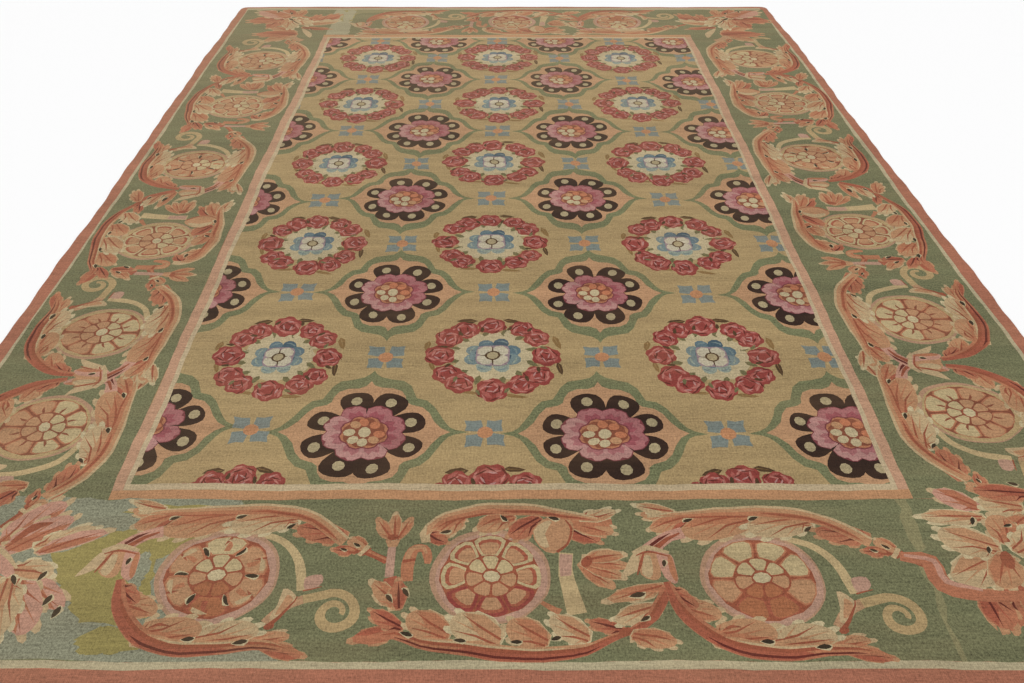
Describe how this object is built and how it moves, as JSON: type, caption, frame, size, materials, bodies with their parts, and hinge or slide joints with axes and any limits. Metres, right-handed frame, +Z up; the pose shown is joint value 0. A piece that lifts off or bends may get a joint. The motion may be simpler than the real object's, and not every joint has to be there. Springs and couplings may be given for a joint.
{
  "type": "aubusson rug",
  "caption": "Large flat-woven wool rug: gold field of rose wreaths and lobed medallions, green scrolling border, coral edge.",
  "frame": {"origin": "middle of the underside's box, on the floor", "axes": "+Y along the rug's length, away from its near end; +X to the right; +Z up out of the face"},
  "size_m": [3.063, 4.2924, 0.0034],
  "materials": {
    "wool": "matt tapestry-woven wool, ribbed along its length, many muted colours"
  },
  "bodies": {
    "root": {"rug": "wool"}
  },
  "joints": []
}
